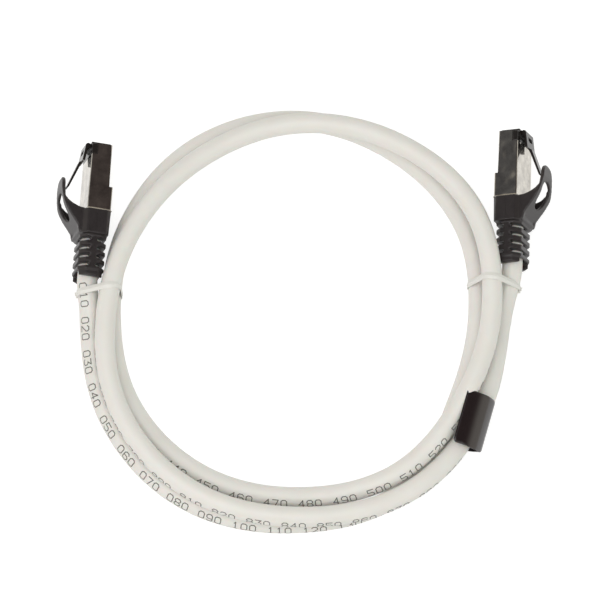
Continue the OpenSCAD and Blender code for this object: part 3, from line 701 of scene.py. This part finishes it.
# Plain digits as strokes on a grid 4 wide and 6 high
DIGITS = {
    "0": [[(1, 0), (3, 0), (4, 1), (4, 5), (3, 6), (1, 6), (0, 5), (0, 1), (1, 0)]],
    "1": [[(1, 5), (2, 6), (2, 0)], [(1, 0), (3, 0)]],
    "2": [[(0, 5), (1, 6), (3, 6), (4, 5), (4, 4), (0, 0), (4, 0)]],
    "3": [[(0, 6), (4, 6), (2, 3.6), (3, 3.6), (4, 2.6), (4, 1), (3, 0), (1, 0), (0, 1)]],
    "4": [[(3, 0), (3, 6), (0, 2), (4, 2)]],
    "5": [[(4, 6), (0, 6), (0, 3.6), (3, 3.6), (4, 2.6), (4, 1), (3, 0), (1, 0), (0, 1)]],
    "6": [[(4, 5), (3, 6), (1, 6), (0, 5), (0, 1), (1, 0), (3, 0), (4, 1), (4, 2.4), (3, 3.4), (0, 3.4)]],
    "7": [[(0, 6), (4, 6), (1.6, 0)]],
    "8": [[(1, 3.2), (0, 4.2), (0, 5), (1, 6), (3, 6), (4, 5), (4, 4.2), (3, 3.2), (1, 3.2), (0, 2.2), (0, 1),
           (1, 0), (3, 0), (4, 1), (4, 2.2), (3, 3.2)]],
    "9": [[(4, 2.6), (1, 2.6), (0, 3.6), (0, 5), (1, 6), (3, 6), (4, 5), (4, 1), (3, 0), (1, 0), (0, 1)]]}
# Where the printed line lies: degrees from the jacket's top toward the outside of the turn, by run angle
PRINT_LIE = [(180, 28), (210, 42), (240, 55), (270, 70), (300, 95), (330, 130), (540, 130), (570, 75), (600, 62),
             (640, 60), (680, 66), (700, 110), (720, 130), (880, 130), (900, 106), (945, 98), (965, 86), (990, 80),
             (1020, 100), (1080, 120)]


def print_lie(run):
    """Where the printed line lies at a run angle, in degrees from the jacket's top."""
    for (s0, a0), (s1, a1) in zip(PRINT_LIE, PRINT_LIE[1:]):
        if s0 <= run <= s1:
            return a0 + (a1 - a0) * (run - s0) / (s1 - s0)
    return PRINT_LIE[-1][1]


def add_marks():
    """Three plain digits every ten millimetres, as thin ink on the jacket."""
    shown = [(p, run) for p, run in zip(CABLE_LINE, CABLE_RUNS) if run is not None]
    points = [p for p, _ in shown]
    run_at = [run for _, run in shown]
    lengths = [0.0]
    for a, b in zip(points, points[1:]):
        lengths.append(lengths[-1] + (b - a).length)
    bm = bmesh.new()

    def way_at(j):
        return (points[min(j + 1, len(points) - 1)] - points[max(j - 1, 0)]).normalized()

    def on_jacket(length, up_mm):
        """The place on the ink's surface at a length along the cable and a height on the printed line."""
        i = max(0, min(bisect.bisect_right(lengths, length) - 1, len(points) - 2))
        t = (length - lengths[i]) / (lengths[i + 1] - lengths[i])
        way = way_at(i).lerp(way_at(i + 1), t).normalized()
        out = way.cross(UP).normalized()
        top = out.cross(way)
        lie = math.radians(print_lie(run_at[i] + (run_at[i + 1] - run_at[i]) * t)) - up_mm / (CABLE_OD / 2)
        return points[i].lerp(points[i + 1], t) + (CABLE_OD / 2 + INK_LIFT) * (math.cos(lie) * top
                                                                              + math.sin(lie) * out)

    def add_stroke(start, a, b):
        """One straight stroke of a digit from a to b, in millimetres from the digit's corner, with square ends."""
        way = (b - a).normalized()
        side = Vector((-way.y, way.x)) * (STROKE / 2)
        a, b = a - way * STROKE * STROKE_END, b + way * STROKE * STROKE_END
        steps = max(1, round((b - a).length / STROKE_STEP))
        rows = []
        for k in range(steps + 1):
            m = a.lerp(b, k / steps)
            rows.append([bm.verts.new(on_jacket(start + q.x, q.y - DIGIT_HEIGHT / 2)) for q in (m - side, m + side)])
        for r0, r1 in zip(rows, rows[1:]):
            bm.faces.new((r0[0], r1[0], r1[1], r0[1])).smooth = True

    for mark in range(int(lengths[-1] // MARK_EVERY)):
        for place, digit in enumerate(f"{10 * (mark + 1) % 1000:03d}"):
            start = mark * MARK_EVERY + MARK_INSET + place * DIGIT_PITCH
            if start + DIGIT_WIDTH > lengths[-1]:
                continue
            for path in DIGITS[digit]:
                grid = [Vector((x * DIGIT_WIDTH / GRID_WIDTH, y * DIGIT_HEIGHT / GRID_HEIGHT)) for x, y in path]
                for a, b in zip(grid, grid[1:]):
                    add_stroke(start, a, b)
    piece = place_piece("jacket_marks", bm, INK)
    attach(piece, "cable")


plug_pieces = {end: [add_boot(end), add_latch(end), add_shield(end), add_nose(end)] for end in "ab"}
ties = [add_tie(name) for name in TIES]
add_cable(plug_pieces["b"] + ties + [add_tag()])
add_marks()

# ---------------------------------------------------------------- floor and light
FLOOR_HALF = 4.0            # metres
# What the camera and mirroring surfaces see of the floor: a grey that still takes shadows, and a glow to white
FLOOR_SEEN = (0.4, 0.4, 0.4, 1)
FLOOR_GLOW = 0.8


def add_floor():
    """White paper: it bounces as paper does, and is seen as white with the object's shadow on it."""
    mesh = bpy.data.meshes.new("studio_floor")
    bm = bmesh.new()
    bmesh.ops.create_grid(bm, x_segments=1, y_segments=1, size=FLOOR_HALF)
    bm.to_mesh(mesh)
    bm.free()
    m, t = new_material("white_paper_floor")
    path = node(t, "ShaderNodeLightPath")
    seen = node(t, "ShaderNodeMath", {"operation": "MAXIMUM"},
                {0: path.outputs["Is Camera Ray"], 1: path.outputs["Is Glossy Ray"]})
    paper = node(t, "ShaderNodeBsdfDiffuse", inputs={"Color": linear("#f2f2f2")})
    dim = node(t, "ShaderNodeBsdfDiffuse", inputs={"Color": FLOOR_SEEN})
    glow = node(t, "ShaderNodeEmission", inputs={"Strength": FLOOR_GLOW})
    white = node(t, "ShaderNodeAddShader", inputs={0: dim.outputs[0], 1: glow.outputs[0]})
    close_material(t, node(t, "ShaderNodeMixShader",
                           inputs={0: seen.outputs[0], 1: paper.outputs[0], 2: white.outputs[0]}))
    mesh.materials.append(m)
    floor = bpy.data.objects.new("studio_floor", mesh)
    bpy.context.scene.collection.objects.link(floor)


def add_light(name, place, size, power):
    """A square softbox at place (metres) that faces the object."""
    data = bpy.data.lights.new(name, "AREA")
    data.shape = "SQUARE"
    data.size = size
    data.energy = power
    lamp = bpy.data.objects.new(name, data)
    lamp.location = place
    lamp.rotation_euler = (-Vector(place)).to_track_quat("-Z", "Y").to_euler()
    bpy.context.scene.collection.objects.link(lamp)


def add_world():
    """A soft even light; mirroring surfaces see a room instead, bright to the sides, with a dark ceiling."""
    world = bpy.data.worlds.new("studio_room")
    world.use_nodes = True
    world.node_tree.nodes.clear()
    t = world.node_tree
    way = node(t, "ShaderNodeSeparateXYZ", inputs={0: node(t, "ShaderNodeTexCoord").outputs["Generated"]})
    side = node(t, "ShaderNodeMapRange", inputs={0: way.outputs["X"], "From Min": -0.5, "From Max": 0.4})
    ceiling = mixed(t, side.outputs["Result"], linear("#5c5c5e"), linear("#4f4847"))
    height = node(t, "ShaderNodeMapRange", inputs={0: way.outputs["Z"], "From Min": 0.42, "From Max": 0.64})
    room = mixed(t, height.outputs["Result"], linear("#e9e4da"), ceiling)
    mirrored = node(t, "ShaderNodeLightPath").outputs["Is Glossy Ray"]
    across = node(t, "ShaderNodeMapRange", inputs={0: way.outputs["X"], "From Min": -1.0, "From Max": 1.0})
    soft = mixed(t, across.outputs["Result"], linear("#d2ccc9"), linear("#bcc1b8"))
    back = node(t, "ShaderNodeBackground", inputs={"Color": mixed(t, mirrored, soft, room), "Strength": 1.0})
    node(t, "ShaderNodeOutputWorld", inputs={"Surface": back.outputs[0]})
    bpy.context.scene.world = world


add_floor()
add_light("overhead_softbox", (0.0, -0.35, 1.5), 1.0, 7.0)
add_light("key_softbox", (-0.7, -0.5, 1.1), 0.9, 4.0)
add_light("fill_softbox", (0.9, -0.7, 0.8), 0.8, 1.5)
add_world()
bpy.context.scene.view_settings.view_transform = "Standard"
